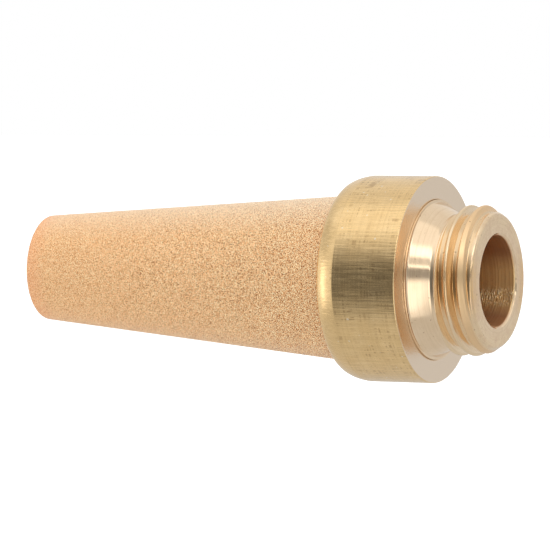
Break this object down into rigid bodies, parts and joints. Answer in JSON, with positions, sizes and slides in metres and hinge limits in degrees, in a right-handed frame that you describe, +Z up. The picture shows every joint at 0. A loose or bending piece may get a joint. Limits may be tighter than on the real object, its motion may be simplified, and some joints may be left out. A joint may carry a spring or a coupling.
{
  "type": "pneumatic muffler",
  "caption": "Sintered bronze cone silencer on a round brass collar with a short male pipe thread, for quieting exhaust air from a valve or cylinder port.",
  "frame": {"origin": "on the muffler's axis, at the collar's flat front face, which seats on the port", "axes": "+X along the axis towards the thread, -X towards the cone's closed tip, +Z up as it lies"},
  "size_m": [0.0445, 0.0182, 0.0182],
  "materials": {
    "sintered_bronze": "matte porous sintered grain",
    "drawn_brass": "satin, as drawn, lengthwise draw lines",
    "turned_brass": "bright turned"
  },
  "bodies": {
    "root": {"sintered_element": "sintered_bronze", "crimp_collar": "drawn_brass", "threaded_nipple": "turned_brass"}
  },
  "joints": []
}
